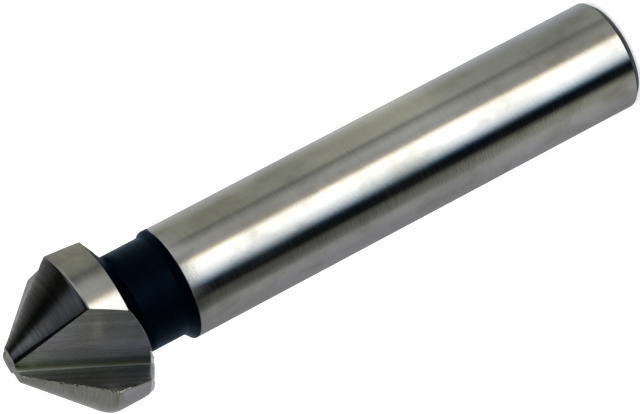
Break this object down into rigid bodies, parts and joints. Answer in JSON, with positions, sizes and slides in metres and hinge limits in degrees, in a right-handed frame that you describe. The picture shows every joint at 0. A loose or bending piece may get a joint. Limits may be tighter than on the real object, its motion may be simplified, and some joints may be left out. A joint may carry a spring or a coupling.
{
  "type": "countersink bit",
  "caption": "Countersink bit: relieved cutting teeth on a right-angled cone, divided by straight V flutes, with a blackened neck and a parallel shank for a chuck.",
  "frame": {"origin": "centre of the flat end face of the shank", "axes": "+Z along the tool's axis from the shank to the cutting tip, +X through one cutting corner of the head"},
  "size_m": [0.0149, 0.0143, 0.06],
  "materials": {
    "ground_steel": "fine ground high speed steel, black oxide left on the neck"
  },
  "bodies": {
    "root": {"countersink_bit": "ground_steel"}
  },
  "joints": []
}
